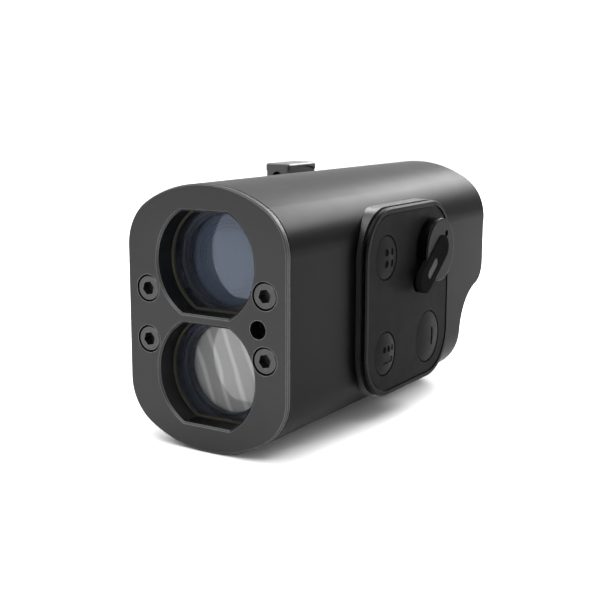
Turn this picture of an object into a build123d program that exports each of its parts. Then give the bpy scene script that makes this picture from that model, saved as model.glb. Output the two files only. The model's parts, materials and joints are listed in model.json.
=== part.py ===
"""Compact two-aperture laser speed meter: housing, optics, keypad, mode knob, battery bay and rail clamp.

Modelled about the housing's long axis: +X is the keypad side, +Y runs from the front plate to the eyepiece,
+Z is up, and Y = 0 is the front plate's outer face. save() moves every piece into the row frame, whose origin
is the middle of the rail clamp's seat.
"""

import os
from math import cos, radians, sin, sqrt

from build123d import *

# ---- Housing -------------------------------------------------------------------------------------
WIDTH = 50.0
HEIGHT = 70.0  # the outline's top and bottom are arcs of one circle of this diameter
CORNER_R = 14.0
LENGTH = 121.0  # front plate to the upper rear face
LOWER_LENGTH = 103.8  # front plate to the lower rear face
STEP_CONVEX_R = 6.7  # the rear step is an S of two tangent arcs
STEP_CONCAVE_R = 16.5
STEP_CONVEX_Z = 2.3
WALL = 2.5
REAR_WALL = 3.0
FIT_GAP = 0.2  # between a part that slides into the housing and the housing

# ---- Front plate and optics ----------------------------------------------------------------------
FLANGE_T = 1.4
GASKET_T = 0.3
PLATE_T = 6.0  # flange and plug together
HOUSING_FRONT = FLANGE_T + GASKET_T
AXIS_Z = 14.6  # the two optical axes are this far above and below the middle
APERTURE_R = 15.2
APERTURE_HALF = 13.3  # half the height between an aperture's two flats
WINDOW_R = 15.8
WINDOW_HALF = 14.0
SEAL_T = 0.5
WINDOW_T = 2.0
BARREL_R = 13.9
BARREL_BORE_R = 11.6
LENS_R = 12.95
LENS_FRONT = 10.4
SCREW_LEFT = (18.4, 6.8)
SCREW_RIGHT = (18.4, 8.2)
HEAD_R = 3.4
HEAD_T = 4.0
HEAD_POCKET_R = 3.7
SCREW_R = 2.0
SOCKET_FLATS = 3.3
POINTER = (16.4, -0.45)
POINTER_R = 2.4

# ---- Keypad --------------------------------------------------------------------------------------
PANEL_Y = 61.05
PANEL_SIDE = 53.2
PANEL_R = 13.5
PAD_TOP = WIDTH / 2 + 1.3
PLATE_BACK = PAD_TOP + 0.8
PLATE_TOP = PLATE_BACK + 1.1
RIM = 1.4
MEMBRANE_BACK = PLATE_TOP - 0.45
MEMBRANE_TOP = PLATE_TOP - 0.2
MEMBRANE_GAP = 0.5
PAD_WINDOW = 46.0
PAD_WINDOW_R = 11.0
BUTTON_GAP = 0.35
BUTTON_EDGE = PLATE_TOP - 0.35
BUTTON_RISE = 0.9
MARK_DEPTH = 0.65
BUTTON_FLANGE = 0.85
SMALL_BUTTON_R = 5.95
LARGE_BUTTON_R = 7.5
TOP_BUTTON = (46.0, 12.9)
MENU_BUTTON = (46.1, -14.2)
POWER_BUTTON = (73.3, -14.2)
BOARD_BACK = 19.0
BOARD_T = 1.6
DOME_T = 0.8

# ---- Mode knob -----------------------------------------------------------------------------------
KNOB = (73.3, 12.3)
KNOB_R = 9.3
KNOB_BACK = PLATE_TOP + 0.25
KNOB_TOP = 31.8
LEVER_TOP = KNOB_TOP - 0.3
CAP_TOP = KNOB_TOP + 0.5
LEVER_R = 3.8
LEVER_REACH = 12.5  # from the knob's axis to the centre of the lever's round end
LEVER_DEG = 218.0  # measured from +Y towards +Z
DOT_DEG = 52.6
SHAFT_R = 3.0

# ---- Battery -------------------------------------------------------------------------------------
CELL_Z = -19.0
CELL_R = 8.4
CELL_LENGTH = 34.5
CELL_FRONT = 63.5
TUBE_R = 10.2
TUBE_BORE_R = 8.8
CAP_BORE_R = 10.0
CAP_POCKET_R = 12.0
BOSS_R = 14.0
BOSS_FRONT = 95.8

# ---- Eyepiece ------------------------------------------------------------------------------------
EYE_FLANGE_R = 17.0
EYE_TUBE_R = 13.0
EYE_BORE_R = 11.5
EYE_WALL_R = 14.4
RING_R = 16.2
RING_FRONT = LENGTH + 1.9
RING_BACK = RING_FRONT + 7.6
EYE_END = 137.0

# ---- Rail clamp: MIL-STD-1913 rail, its top face on the seat -------------------------------------
SEAT_X = -30.0
CLAMP_Y = 88.7
RAIL_Z = 10.6
RAIL_HALF = 10.6  # half the rail's widest part
JAW_T = 5.0  # from the rail's edge to the jaw's outer face
LIP_DEPTH = 7.5  # from the seat to the jaws' outer end
LIP_HALF = 8.3
SEAT_HALF = 7.8
BASE_LENGTH = 40.0
BOLT_X = -30.45
BOLT_R = 2.5
BOLT_HEAD_TOP = 35.0
BOLT_HEAD = (9.2, 17.2)
BOLT_COLLAR_R = 5.0
BOLT_COLLAR_TOP = 28.2
BAR_HOLE_R = 1.9
BAR_HOLE_Z = 30.6
BOLT_BORE_R = 2.8
BOLT_END = -10.0
GUIDE_STEP = 0.3  # the jaw slides on a face this far behind the seat
TONGUE = 16.0  # width of the tongue that carries the movable jaw's thread

ROW_FRAME = Location((-SEAT_X, -CLAMP_Y, -RAIL_Z))


# ---- Helpers -------------------------------------------------------------------------------------
def facing(y, x=0.0, z=0.0):
    """Plane at y that looks to the front: sketch x is X and sketch y is Z, and minus is to the back."""
    return Plane(origin=(x, y, z), x_dir=(1, 0, 0), z_dir=(0, -1, 0))


def beside(x, y=0.0, z=0.0, degrees=0.0):
    """Plane at x that looks to the keypad side: sketch x is Y, or Y turned by some degrees towards Z."""
    turn = radians(degrees)
    return Plane(origin=(x, y, z), x_dir=(0, cos(turn), sin(turn)), z_dir=(1, 0, 0))


def axis_y(z, x=0.0):
    return Axis((x, 0, z), (0, 1, 0))


def rod_x(radius, start, end, y, z, mode=Mode.ADD):
    """A round rod along X, added to or cut from the part being built."""
    with Locations(Location(((start + end) / 2, y, z), (0, 90, 0))):
        Cylinder(radius, end - start, mode=mode)


def rod_y(radius, start, end, z, x=0.0, mode=Mode.ADD):
    """A round rod along Y, added to or cut from the part being built."""
    with Locations(Location((x, (start + end) / 2, z), (90, 0, 0))):
        Cylinder(radius, end - start, mode=mode)


def rod_z(radius, start, end, x, y, mode=Mode.ADD):
    """A round rod along Z, added to or cut from the part being built."""
    with Locations((x, y, (start + end) / 2)):
        Cylinder(radius, end - start, mode=mode)


def block(x_span, y_span, z_span, mode=Mode.ADD):
    """A box given by its span on each axis, added to or cut from the part being built."""
    middle = [sum(span) / 2 for span in (x_span, y_span, z_span)]
    size = [span[1] - span[0] for span in (x_span, y_span, z_span)]
    with Locations(tuple(middle)):
        Box(*size, mode=mode)


def outline(inset=0.0):
    """The housing's outline: a circle with two flat sides and rounded corners."""
    with BuildSketch(mode=Mode.PRIVATE) as shape:
        Circle(HEIGHT / 2 - inset)
        Rectangle(WIDTH - 2 * inset, HEIGHT, mode=Mode.INTERSECT)
        fillet(shape.vertices(), CORNER_R - inset)
    return shape.sketch


def cut_circle(radius, half):
    """A circle cut off by two level flats, half above and below its centre."""
    with BuildSketch(mode=Mode.PRIVATE) as shape:
        Circle(radius)
        Rectangle(2 * radius, 2 * half, mode=Mode.INTERSECT)
    return shape.sketch


def side_profile(inset=0.0):
    """The housing's side view in Y and Z, with the S-shaped step at the rear, moved in by inset."""
    convex = (LENGTH - STEP_CONVEX_R, STEP_CONVEX_Z)
    concave_y = LOWER_LENGTH + STEP_CONCAVE_R
    reach = STEP_CONVEX_R + STEP_CONCAVE_R
    concave_z = STEP_CONVEX_Z - sqrt(reach**2 - (concave_y - convex[0]) ** 2)
    share = (STEP_CONVEX_R - inset) / reach
    turn = (convex[0] + (concave_y - convex[0]) * share, convex[1] + (concave_z - convex[1]) * share)
    back, low = LENGTH - inset, LOWER_LENGTH - inset
    with BuildSketch(mode=Mode.PRIVATE) as shape:
        with BuildLine():
            start = Line((back, HEIGHT), (back, convex[1]))
            bend = TangentArc(start @ 1, turn, tangent=start % 1)
            rise = TangentArc(bend @ 1, (low, concave_z), tangent=bend % 1)
            Polyline(rise @ 1, (low, -HEIGHT), (HOUSING_FRONT, -HEIGHT), (HOUSING_FRONT, HEIGHT), start @ 0)
        make_face()
    return shape.sketch


def lens_profile(radius, front, back, front_bulge, back_bulge):
    """Half section of a lens in X and Y, about the Y axis, with its vertices bulging out of the two faces."""
    with BuildSketch(mode=Mode.PRIVATE) as shape:
        with BuildLine():
            axis_line = Line((0, front - front_bulge), (0, back + back_bulge))
            rear = RadiusArc(axis_line @ 1, (radius, back), dome_radius(radius, back_bulge))
            edge = Line(rear @ 1, (radius, front))
            RadiusArc(edge @ 1, axis_line @ 0, dome_radius(radius, front_bulge))
        make_face()
    return shape.sketch


def dome_radius(half_width, height):
    """Radius of the arc that rises by height over half_width."""
    return (half_width**2 + height**2) / (2 * height)


def save(solid, name):
    moved = ROW_FRAME * solid
    moved.label = name
    export_step(moved, f"parts/{name}.step")


os.makedirs("parts", exist_ok=True)

SCREWS = [(x * side, z * level) for x, z, side in ((*SCREW_LEFT, -1), (*SCREW_RIGHT, 1)) for level in (1, -1)]
UP_DOWN = (AXIS_Z, -AXIS_Z)
PLUG_INSET = WALL + FIT_GAP
CHASSIS = (PLATE_T + 0.1, 16.0)
WINDOW_FRONT = PLATE_T + SEAL_T

# ---- Housing -------------------------------------------------------------------------------------
INNER_X = WIDTH / 2 - WALL
BOARD_FRONT = BOARD_BACK + BOARD_T
BOSS_END = 27.0
CELL_BACK = CELL_FRONT + CELL_LENGTH
CAP_POCKET = LOWER_LENGTH - 2.6
STANDOFFS = [(59.5, 17.0), (59.5, -17.5), (38.5, 0.0), (82.0, 0.0)]
CORNER_SCREW = 20.7
BEZEL_SCREWS = [(PANEL_Y + i * CORNER_SCREW, j * CORNER_SCREW) for i in (-1, 1) for j in (-1, 1)]
CLAMP_SCREWS = [(CLAMP_Y + i * 14.5, z) for i in (-1, 1) for z in (0.5, 14.0)]
BUTTONS = {"top": (*TOP_BUTTON, SMALL_BUTTON_R), "menu": (*MENU_BUTTON, SMALL_BUTTON_R),
           "power": (*POWER_BUTTON, LARGE_BUTTON_R)}
STEM_R = 1.8

with BuildPart() as cavity:
    with BuildSketch(facing(HOUSING_FRONT)):
        add(outline(WALL))
    extrude(amount=-LENGTH)
    with BuildSketch(beside(0)):
        add(side_profile(REAR_WALL))
    extrude(amount=WIDTH, both=True, mode=Mode.INTERSECT)

with BuildPart() as envelope:
    with BuildSketch(facing(HOUSING_FRONT)):
        add(outline())
    extrude(amount=-LENGTH)
    with BuildSketch(beside(0)):
        add(side_profile())
    extrude(amount=WIDTH, both=True, mode=Mode.INTERSECT)

with BuildPart() as housing:
    add(envelope.part)
    chamfer(housing.faces().sort_by(Axis.Y)[0].edges(), 0.35)
    add(cavity.part, mode=Mode.SUBTRACT)
    for x, z in SCREWS:
        block(sorted((x, x + 5 * x / abs(x))), (CHASSIS[1], BOSS_END), (z - 4, z + 4))
        rod_y(4.0, CHASSIS[1], BOSS_END, z, x)
    for y, z in STANDOFFS:
        rod_x(2.0, BOARD_FRONT, INNER_X + 0.5, y, z)
    rod_y(BOSS_R, BOSS_FRONT, LOWER_LENGTH - 1, CELL_Z)
    for x, z in SCREWS:
        rod_y(SCREW_R, CHASSIS[1] - 1, BOSS_END - 2, z, x, mode=Mode.SUBTRACT)
    for y, z in STANDOFFS:
        rod_x(0.8, BOARD_FRONT - 1, INNER_X + 1.2, y, z, mode=Mode.SUBTRACT)
    rod_y(CAP_BORE_R, BOSS_FRONT - 1, LENGTH, CELL_Z, mode=Mode.SUBTRACT)
    rod_y(CAP_POCKET_R, CAP_POCKET, LENGTH, CELL_Z, mode=Mode.SUBTRACT)
    rod_y(EYE_WALL_R, LENGTH - 10, LENGTH + 1, AXIS_Z, mode=Mode.SUBTRACT)
    for y, z, _ in BUTTONS.values():
        rod_x(STEM_R + 0.4, INNER_X - 1, WIDTH / 2 + 1, y, z, mode=Mode.SUBTRACT)
    rod_x(SHAFT_R + 0.4, INNER_X - 1, WIDTH / 2 + 1, *KNOB, mode=Mode.SUBTRACT)
    for y, z in BEZEL_SCREWS:
        rod_x(0.85, INNER_X - 3, WIDTH / 2 + 1, y, z, mode=Mode.SUBTRACT)
        rod_x(1.7, INNER_X - 4, INNER_X + 0.1, y, z, mode=Mode.SUBTRACT)
    for y, z in CLAMP_SCREWS:
        rod_x(2.1, -WIDTH / 2 - 1, -INNER_X + 1, y, z, mode=Mode.SUBTRACT)

# ---- Front plate, windows and the chassis behind it ----------------------------------------------
with BuildPart() as front_gasket:
    with BuildSketch(facing(FLANGE_T)):
        add(outline(0.9))
        add(outline(WALL), mode=Mode.SUBTRACT)
    extrude(amount=-GASKET_T)

with BuildPart() as front_plate:
    with BuildSketch(facing(0)):
        add(outline())
    extrude(amount=-FLANGE_T)
    chamfer(front_plate.faces().sort_by(Axis.Y)[0].edges(), 0.35)
    with BuildSketch(facing(FLANGE_T)):
        add(outline(PLUG_INSET))
    extrude(amount=FLANGE_T - PLATE_T)
    with BuildSketch(facing(0)):
        for z in UP_DOWN:
            with Locations((0, z)):
                add(cut_circle(APERTURE_R, APERTURE_HALF))
    extrude(amount=-PLATE_T, mode=Mode.SUBTRACT)
    rims = front_plate.faces().sort_by(Axis.Y)[0].inner_wires().edges()
    chamfer(rims, 0.5)
    for x, z in SCREWS:
        rod_y(HEAD_POCKET_R, -1, HEAD_T + 0.2, z, x, mode=Mode.SUBTRACT)
        rod_y(SCREW_R + 0.2, 0, PLATE_T + 1, z, x, mode=Mode.SUBTRACT)
    rod_y(POINTER_R, -1, PLATE_T + 1, POINTER[1], POINTER[0], mode=Mode.SUBTRACT)

with BuildPart() as front_screws:
    for x, z in SCREWS:
        rod_y(HEAD_R, 0.1, HEAD_T + 0.2, z, x)
    chamfer(front_screws.faces().group_by(Axis.Y)[0].edges(), 0.3)
    for x, z in SCREWS:
        rod_y(SCREW_R, HEAD_T, BOSS_END - 3, z, x)
    for x, z in SCREWS:
        with BuildSketch(facing(0.1, x, z)):
            RegularPolygon(SOCKET_FLATS / 2, 6, major_radius=False, rotation=12)
        extrude(amount=-2.6, mode=Mode.SUBTRACT)

with BuildPart() as window_seals:
    with BuildSketch(facing(PLATE_T)):
        for z in UP_DOWN:
            with Locations((0, z)):
                add(cut_circle(WINDOW_R, WINDOW_HALF))
                add(cut_circle(APERTURE_R - 0.55, APERTURE_HALF - 0.65), mode=Mode.SUBTRACT)
    extrude(amount=-SEAL_T)

with BuildPart() as upper_window:
    with BuildSketch(facing(WINDOW_FRONT, z=AXIS_Z)):
        add(cut_circle(WINDOW_R, WINDOW_HALF))
    extrude(amount=-WINDOW_T)

with BuildPart() as lower_window:
    with BuildSketch(facing(WINDOW_FRONT, z=-AXIS_Z)):
        add(cut_circle(WINDOW_R, WINDOW_HALF))
    extrude(amount=-WINDOW_T)

with BuildPart() as optics_chassis:
    with BuildSketch(facing(CHASSIS[0])):
        add(outline(PLUG_INSET))
    extrude(amount=CHASSIS[0] - CHASSIS[1])
    with BuildSketch(facing(CHASSIS[0])):
        for z in UP_DOWN:
            with Locations((0, z)):
                add(cut_circle(WINDOW_R + 0.1, WINDOW_HALF + 0.1))
    extrude(amount=CHASSIS[0] - WINDOW_FRONT - WINDOW_T, mode=Mode.SUBTRACT)
    for z in UP_DOWN:
        rod_y(BARREL_R, CHASSIS[0], CHASSIS[1] + 1, z, mode=Mode.SUBTRACT)
    for x, z in SCREWS:
        rod_y(SCREW_R + 0.2, CHASSIS[0] - 1, CHASSIS[1] + 1, z, x, mode=Mode.SUBTRACT)
    rod_y(3.0, CHASSIS[0] - 1, CHASSIS[1] + 1, POINTER[1], POINTER[0], mode=Mode.SUBTRACT)

with BuildPart() as pointer_window:
    rod_y(POINTER_R, PLATE_T - 1.2, PLATE_T, POINTER[1], POINTER[0])

with BuildPart() as pointer_module:
    rod_y(2.95, PLATE_T + 0.3, 24.0, POINTER[1], POINTER[0])
    rod_y(1.6, PLATE_T, 10.0, POINTER[1], POINTER[0], mode=Mode.SUBTRACT)

# ---- Barrels and their lenses --------------------------------------------------------------------
BARREL_FRONT = WINDOW_FRONT + WINDOW_T + 0.5
LENS_SEAT = LENS_FRONT + 5.2
BARREL_ENDS = {"upper": (AXIS_Z, 44.0), "lower": (-AXIS_Z, 40.0)}


def barrel_section(end):
    """Half section of a barrel about the Y axis: a lens seat, a stepped bore and light baffles."""
    with BuildSketch(mode=Mode.PRIVATE) as shape:
        with Locations(((BARREL_BORE_R + BARREL_R) / 2, (BARREL_FRONT + end) / 2)):
            Rectangle(BARREL_R - BARREL_BORE_R, end - BARREL_FRONT)
        with Locations((LENS_R / 2, (BARREL_FRONT + LENS_SEAT) / 2)):
            Rectangle(LENS_R, LENS_SEAT - BARREL_FRONT, mode=Mode.SUBTRACT)
        for y in (24.0, 30.0, 36.0):
            with Locations((BARREL_BORE_R - 0.5, y)):
                Rectangle(1.2, 0.6)
    return shape.sketch


with BuildPart() as upper_barrel:
    with BuildSketch(Plane.XY.offset(AXIS_Z)):
        add(barrel_section(BARREL_ENDS["upper"][1]))
    revolve(axis=axis_y(AXIS_Z))

with BuildPart() as lower_barrel:
    with BuildSketch(Plane.XY.offset(-AXIS_Z)):
        add(barrel_section(BARREL_ENDS["lower"][1]))
    revolve(axis=axis_y(-AXIS_Z))

with BuildPart() as lens_rings:
    for z in UP_DOWN:
        rod_y(LENS_R, BARREL_FRONT + 0.2, LENS_FRONT + 0.6, z)
    for z in UP_DOWN:
        rod_y(LENS_R - 0.9, BARREL_FRONT - 1, LENS_FRONT + 1, z, mode=Mode.SUBTRACT)

with BuildPart() as objective_lens:
    with BuildSketch(Plane.XY.offset(AXIS_Z)):
        add(lens_profile(LENS_R, LENS_FRONT + 1.6, LENS_SEAT - 0.25, 1.2, 0.8))
    revolve(axis=axis_y(AXIS_Z))

with BuildPart() as receiver_lens:
    with BuildSketch(Plane.XY.offset(-AXIS_Z)):
        add(lens_profile(LENS_R, LENS_FRONT + 1.6, LENS_SEAT - 0.4, 1.2, 1.6))
    revolve(axis=axis_y(-AXIS_Z))

with BuildPart() as receiver_filter:
    rod_y(BARREL_BORE_R, 37.0, 38.0, -AXIS_Z)

with BuildPart() as receiver_board:
    block((-12.5, 12.5), (41.0, 42.6), (-AXIS_Z - 12.5, -AXIS_Z + 12.5))
    block((-9, -5), (42.6, 44.0), (-AXIS_Z - 8, -AXIS_Z - 2))
    block((3, 9), (42.6, 43.8), (-AXIS_Z - 3, -AXIS_Z + 3))

with BuildPart() as detector:
    rod_y(4.6, 38.4, 41.0, -AXIS_Z)
    rod_y(4.1, 38.2, 38.6, -AXIS_Z)

# ---- Sight: beam splitter, laser, roof prisms and display ----------------------------------------
CUBE = (47.0, 61.0)
PRISMS = (66.0, 96.0)

with BuildPart() as sight_frame:
    block((-13.5, 13.5), (CUBE[0] - 1.5, PRISMS[1] + 1.5), (AXIS_Z - 13, AXIS_Z + 13))
    fillet(sight_frame.edges().filter_by(Axis.Y), 4.0)
    block((-10.05, 10.05), PRISMS, (AXIS_Z - 10.05, AXIS_Z + 10.05), mode=Mode.SUBTRACT)
    block((-7.05, 14), (CUBE[0], CUBE[1]), (AXIS_Z - 7.05, AXIS_Z + 7.05), mode=Mode.SUBTRACT)
    block((9, 14), (PRISMS[0] + 3, PRISMS[1] - 3), (AXIS_Z - 7, AXIS_Z + 7), mode=Mode.SUBTRACT)
    rod_y(6.5, CUBE[0] - 3, PRISMS[1] + 3, AXIS_Z, mode=Mode.SUBTRACT)
    rod_x(3.55, -14, -7, sum(CUBE) / 2, AXIS_Z, mode=Mode.SUBTRACT)

with BuildPart() as splitter_cube:
    block((-7, 7), (CUBE[0] + 0.05, CUBE[1] - 0.05), (AXIS_Z - 7, AXIS_Z + 7))
    chamfer(splitter_cube.edges(), 0.3)

with BuildPart() as laser_module:
    rod_x(3.5, -19.5, -7.2, sum(CUBE) / 2, AXIS_Z)
    rod_x(4.6, -21.0, -19.5, sum(CUBE) / 2, AXIS_Z)

with BuildPart() as front_prism:
    with BuildSketch(beside(-9)):
        with BuildLine():
            low, high = AXIS_Z - 10, AXIS_Z + 10
            Polyline((PRISMS[0], low), (PRISMS[0], high), (PRISMS[0] + 5, high),
                     (PRISMS[0] + 19.5, low), close=True)
        make_face()
    extrude(amount=18)

with BuildPart() as rear_prism:
    with BuildSketch(beside(-9)):
        with BuildLine():
            low, high = AXIS_Z - 10, AXIS_Z + 10
            Polyline((PRISMS[1], low), (PRISMS[1], high), (PRISMS[0] + 5.6, high),
                     (PRISMS[0] + 20.1, low), close=True)
        make_face()
    extrude(amount=18)

with BuildPart() as display_frame:
    rod_y(15.0, 100.0, 110.0, AXIS_Z)
    rod_y(11.0, 99.0, 106.0, AXIS_Z, mode=Mode.SUBTRACT)
    rod_y(9.0, 105.0, 111.0, AXIS_Z, mode=Mode.SUBTRACT)

with BuildPart() as display_panel:
    rod_y(10.95, 104.0, 106.0, AXIS_Z)

# ---- Eyepiece ------------------------------------------------------------------------------------
FLANGE_BACK = LENGTH - REAR_WALL
EYE_CELL = (127.0, 134.0)

with BuildPart() as eye_housing:
    rod_y(EYE_FLANGE_R, FLANGE_BACK - 2, FLANGE_BACK, AXIS_Z)
    block((-20, 20), (FLANGE_BACK - 3, FLANGE_BACK + 1), (-20, STEP_CONVEX_Z), mode=Mode.SUBTRACT)
    rod_y(EYE_WALL_R - 0.05, FLANGE_BACK - 2, RING_FRONT - 0.2, AXIS_Z)
    rod_y(EYE_TUBE_R, RING_FRONT - 0.5, EYE_END, AXIS_Z)
    chamfer(eye_housing.faces().sort_by(Axis.Y)[-1].edges(), 0.5)
    rod_y(EYE_BORE_R, FLANGE_BACK - 3, EYE_END + 1, AXIS_Z, mode=Mode.SUBTRACT)

with BuildPart() as field_lens:
    with BuildSketch(Plane.XY.offset(AXIS_Z)):
        add(lens_profile(EYE_BORE_R, 119.0, 121.0, 0.6, 1.5))
    revolve(axis=axis_y(AXIS_Z))

with BuildPart() as eye_cell:
    rod_y(EYE_BORE_R - 0.05, *EYE_CELL, AXIS_Z)
    rod_y(10.2, EYE_CELL[0] + 1, EYE_CELL[1] + 1, AXIS_Z, mode=Mode.SUBTRACT)
    rod_y(9.2, EYE_CELL[0] - 1, EYE_CELL[1], AXIS_Z, mode=Mode.SUBTRACT)

with BuildPart() as eye_lens:
    with BuildSketch(Plane.XY.offset(AXIS_Z)):
        add(lens_profile(10.2, EYE_CELL[0] + 2.4, EYE_CELL[1] - 1.8, 1.2, 1.0))
    revolve(axis=axis_y(AXIS_Z))

with BuildPart() as diopter_ring:
    rod_y(RING_R, RING_FRONT, RING_BACK, AXIS_Z)
    chamfer(diopter_ring.edges(), 0.5)
    with Locations(Plane(origin=(0, (RING_FRONT + RING_BACK) / 2, AXIS_Z), x_dir=(1, 0, 0), z_dir=(0, -1, 0))):
        with PolarLocations(RING_R + 0.45, 30):
            Cylinder(0.9, 5.0, mode=Mode.SUBTRACT)
    rod_y(EYE_TUBE_R + 0.06, RING_FRONT - 1, RING_BACK + 1, AXIS_Z, mode=Mode.SUBTRACT)

with BuildPart() as eyecup:
    with BuildSketch(Plane.XY.offset(AXIS_Z)):
        with BuildLine():
            start = Line((EYE_TUBE_R, RING_BACK + 0.5), (15.6, RING_BACK + 0.5))
            outer = Spline(start @ 1, (15.2, RING_BACK + 4.5), (16.3, RING_BACK + 11.5))
            lip = TangentArc(outer @ 1, (14.9, RING_BACK + 12.2), tangent=outer % 1)
            inner = Spline(lip @ 1, (13.4, RING_BACK + 8.5), (12.6, EYE_END + 0.8))
            Polyline(inner @ 1, (11.6, EYE_END + 0.8), (11.6, EYE_END), (EYE_TUBE_R, EYE_END), start @ 0)
        make_face()
    revolve(axis=axis_y(AXIS_Z))

# ---- Battery bay ---------------------------------------------------------------------------------
with BuildPart() as battery_tube:
    rod_y(TUBE_R, CELL_FRONT - 5.5, BOSS_FRONT, CELL_Z)
    rod_y(TUBE_BORE_R, CELL_FRONT - 4, BOSS_FRONT + 1, CELL_Z, mode=Mode.SUBTRACT)
    rod_y(2.0, CELL_FRONT - 6, CELL_FRONT, CELL_Z, mode=Mode.SUBTRACT)

with BuildPart() as battery_cell:
    rod_y(CELL_R, CELL_FRONT, CELL_BACK - 1.4, CELL_Z)
    fillet(battery_cell.edges(), 0.6)
    rod_y(3.2, CELL_BACK - 1.6, CELL_BACK, CELL_Z)

with BuildPart() as contact_spring:
    with BuildLine():
        coil = Helix(1.15, 3.45, 5.0, center=(0, CELL_FRONT - 3.7, CELL_Z), direction=(0, 1, 0), cone_angle=-9)
    with BuildSketch(Plane(origin=coil @ 0, z_dir=coil % 0)):
        Circle(0.25)
    sweep()

with BuildPart() as battery_cap:
    rod_y(CAP_BORE_R - 0.07, CELL_BACK + 0.9, CAP_POCKET + 0.6, CELL_Z)
    rod_y(CAP_POCKET_R - 0.3, CAP_POCKET + 0.7, LOWER_LENGTH + 0.8, CELL_Z)
    chamfer(battery_cap.faces().sort_by(Axis.Y)[-1].edges(), 0.5)
    with BuildSketch(Plane(origin=(0, LOWER_LENGTH + 0.8, CELL_Z), x_dir=(1, 0, 0), z_dir=(0, 1, 0))):
        SlotOverall(15.0, 2.0)
    extrude(amount=-1.4, mode=Mode.SUBTRACT)
    rod_y(6.0, CELL_BACK, CELL_BACK + 1.9, CELL_Z, mode=Mode.SUBTRACT)

with BuildPart() as cap_contact:
    rod_y(5.7, CELL_BACK + 0.05, CELL_BACK + 1.7, CELL_Z)
    fillet(cap_contact.edges(), 0.3)

with BuildPart() as cap_seal:
    with BuildSketch(Plane.XY.offset(CELL_Z)):
        with Locations((CAP_BORE_R + 0.75, CAP_POCKET + 0.32)):
            Circle(0.3)
    revolve(axis=axis_y(CELL_Z))

# ---- Keypad --------------------------------------------------------------------------------------
PAD_SIDE = PANEL_SIDE + 0.3
NECK_INSET = 0.7


def panel(side, radius):
    """A square with rounded corners, centred on the keypad."""
    with BuildSketch(mode=Mode.PRIVATE) as shape:
        with Locations((PANEL_Y, 0)):
            RectangleRounded(side, side, radius)
    return shape.sketch


with BuildPart() as keypad_gasket:
    with BuildSketch(beside(WIDTH / 2 - 7)):
        add(panel(PAD_SIDE, PANEL_R))
        add(panel(PAD_WINDOW, PAD_WINDOW_R), mode=Mode.SUBTRACT)
    extrude(amount=PAD_TOP - WIDTH / 2 + 7)
    with BuildSketch(facing(HOUSING_FRONT)):
        add(outline())
    extrude(amount=-LENGTH, mode=Mode.SUBTRACT)
    for y, z in BEZEL_SCREWS:
        rod_x(0.85, INNER_X - 3, PAD_TOP + 1, y, z, mode=Mode.SUBTRACT)

with BuildPart() as keypad_bezel:
    with BuildSketch(beside(PAD_TOP)):
        add(panel(PANEL_SIDE - 2 * NECK_INSET, PANEL_R - NECK_INSET))
    extrude(amount=PLATE_BACK - PAD_TOP)
    with BuildSketch(beside(PLATE_BACK)):
        add(panel(PANEL_SIDE, PANEL_R))
    extrude(amount=PLATE_TOP - PLATE_BACK)
    chamfer(keypad_bezel.faces().sort_by(Axis.X)[-1].edges(), 0.4)
    with BuildSketch(beside(PAD_TOP)):
        add(panel(PAD_WINDOW, PAD_WINDOW_R))
    extrude(amount=PLATE_BACK - PAD_TOP, mode=Mode.SUBTRACT)
    with BuildSketch(beside(MEMBRANE_BACK)):
        add(panel(PANEL_SIDE - 2 * RIM, PANEL_R - RIM))
    extrude(amount=1, mode=Mode.SUBTRACT)
    for y, z, radius in BUTTONS.values():
        rod_x(radius + BUTTON_GAP, PLATE_BACK - 1, PLATE_TOP + 1, y, z, mode=Mode.SUBTRACT)
    rod_x(5.6, PAD_TOP - 0.8, PLATE_BACK + 0.1, *KNOB)
    rod_x(SHAFT_R + 0.05, PAD_TOP - 2, PLATE_TOP + 1, *KNOB, mode=Mode.SUBTRACT)
    rod_x(SHAFT_R + 1.3, PAD_TOP - 2, PAD_TOP + 0.7, *KNOB, mode=Mode.SUBTRACT)
    for y, z in BEZEL_SCREWS:
        rod_x(0.8, PAD_TOP - 1, PAD_TOP + 0.9, y, z, mode=Mode.SUBTRACT)

with BuildPart() as keypad_membrane:
    with BuildSketch(beside(MEMBRANE_BACK)):
        add(panel(PANEL_SIDE - 2 * RIM - 2 * MEMBRANE_GAP, PANEL_R - RIM - MEMBRANE_GAP))
    extrude(amount=MEMBRANE_TOP - MEMBRANE_BACK)
    for y, z, radius in BUTTONS.values():
        rod_x(radius + BUTTON_GAP, PLATE_BACK, PLATE_TOP + 1, y, z, mode=Mode.SUBTRACT)
    rod_x(SHAFT_R + 0.3, PLATE_BACK, PLATE_TOP + 1, *KNOB, mode=Mode.SUBTRACT)


def button_section(radius):
    """Half section of a push button: a stem, a flange and a domed face towards the finger."""
    stem_end = BOARD_FRONT + DOME_T + 0.85
    flange = (PLATE_BACK - 0.95, PLATE_BACK - 0.05)
    with BuildSketch(mode=Mode.PRIVATE) as shape:
        with BuildLine():
            Polyline((0, BUTTON_EDGE + BUTTON_RISE), (0, stem_end), (STEM_R, stem_end), (STEM_R, flange[0]),
                     (radius + BUTTON_FLANGE, flange[0]), (radius + BUTTON_FLANGE, flange[1]), (radius, flange[1]),
                     (radius, BUTTON_EDGE))
            RadiusArc((0, BUTTON_EDGE + BUTTON_RISE), (radius, BUTTON_EDGE), dome_radius(radius, BUTTON_RISE))
        make_face()
    return shape.sketch


def across(y, z):
    """Plane in which sketch x runs along Y and sketch y runs along X, through the point y, z."""
    return Plane(origin=(0, y, z), x_dir=(0, 1, 0), z_dir=(0, 0, -1))


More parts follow.
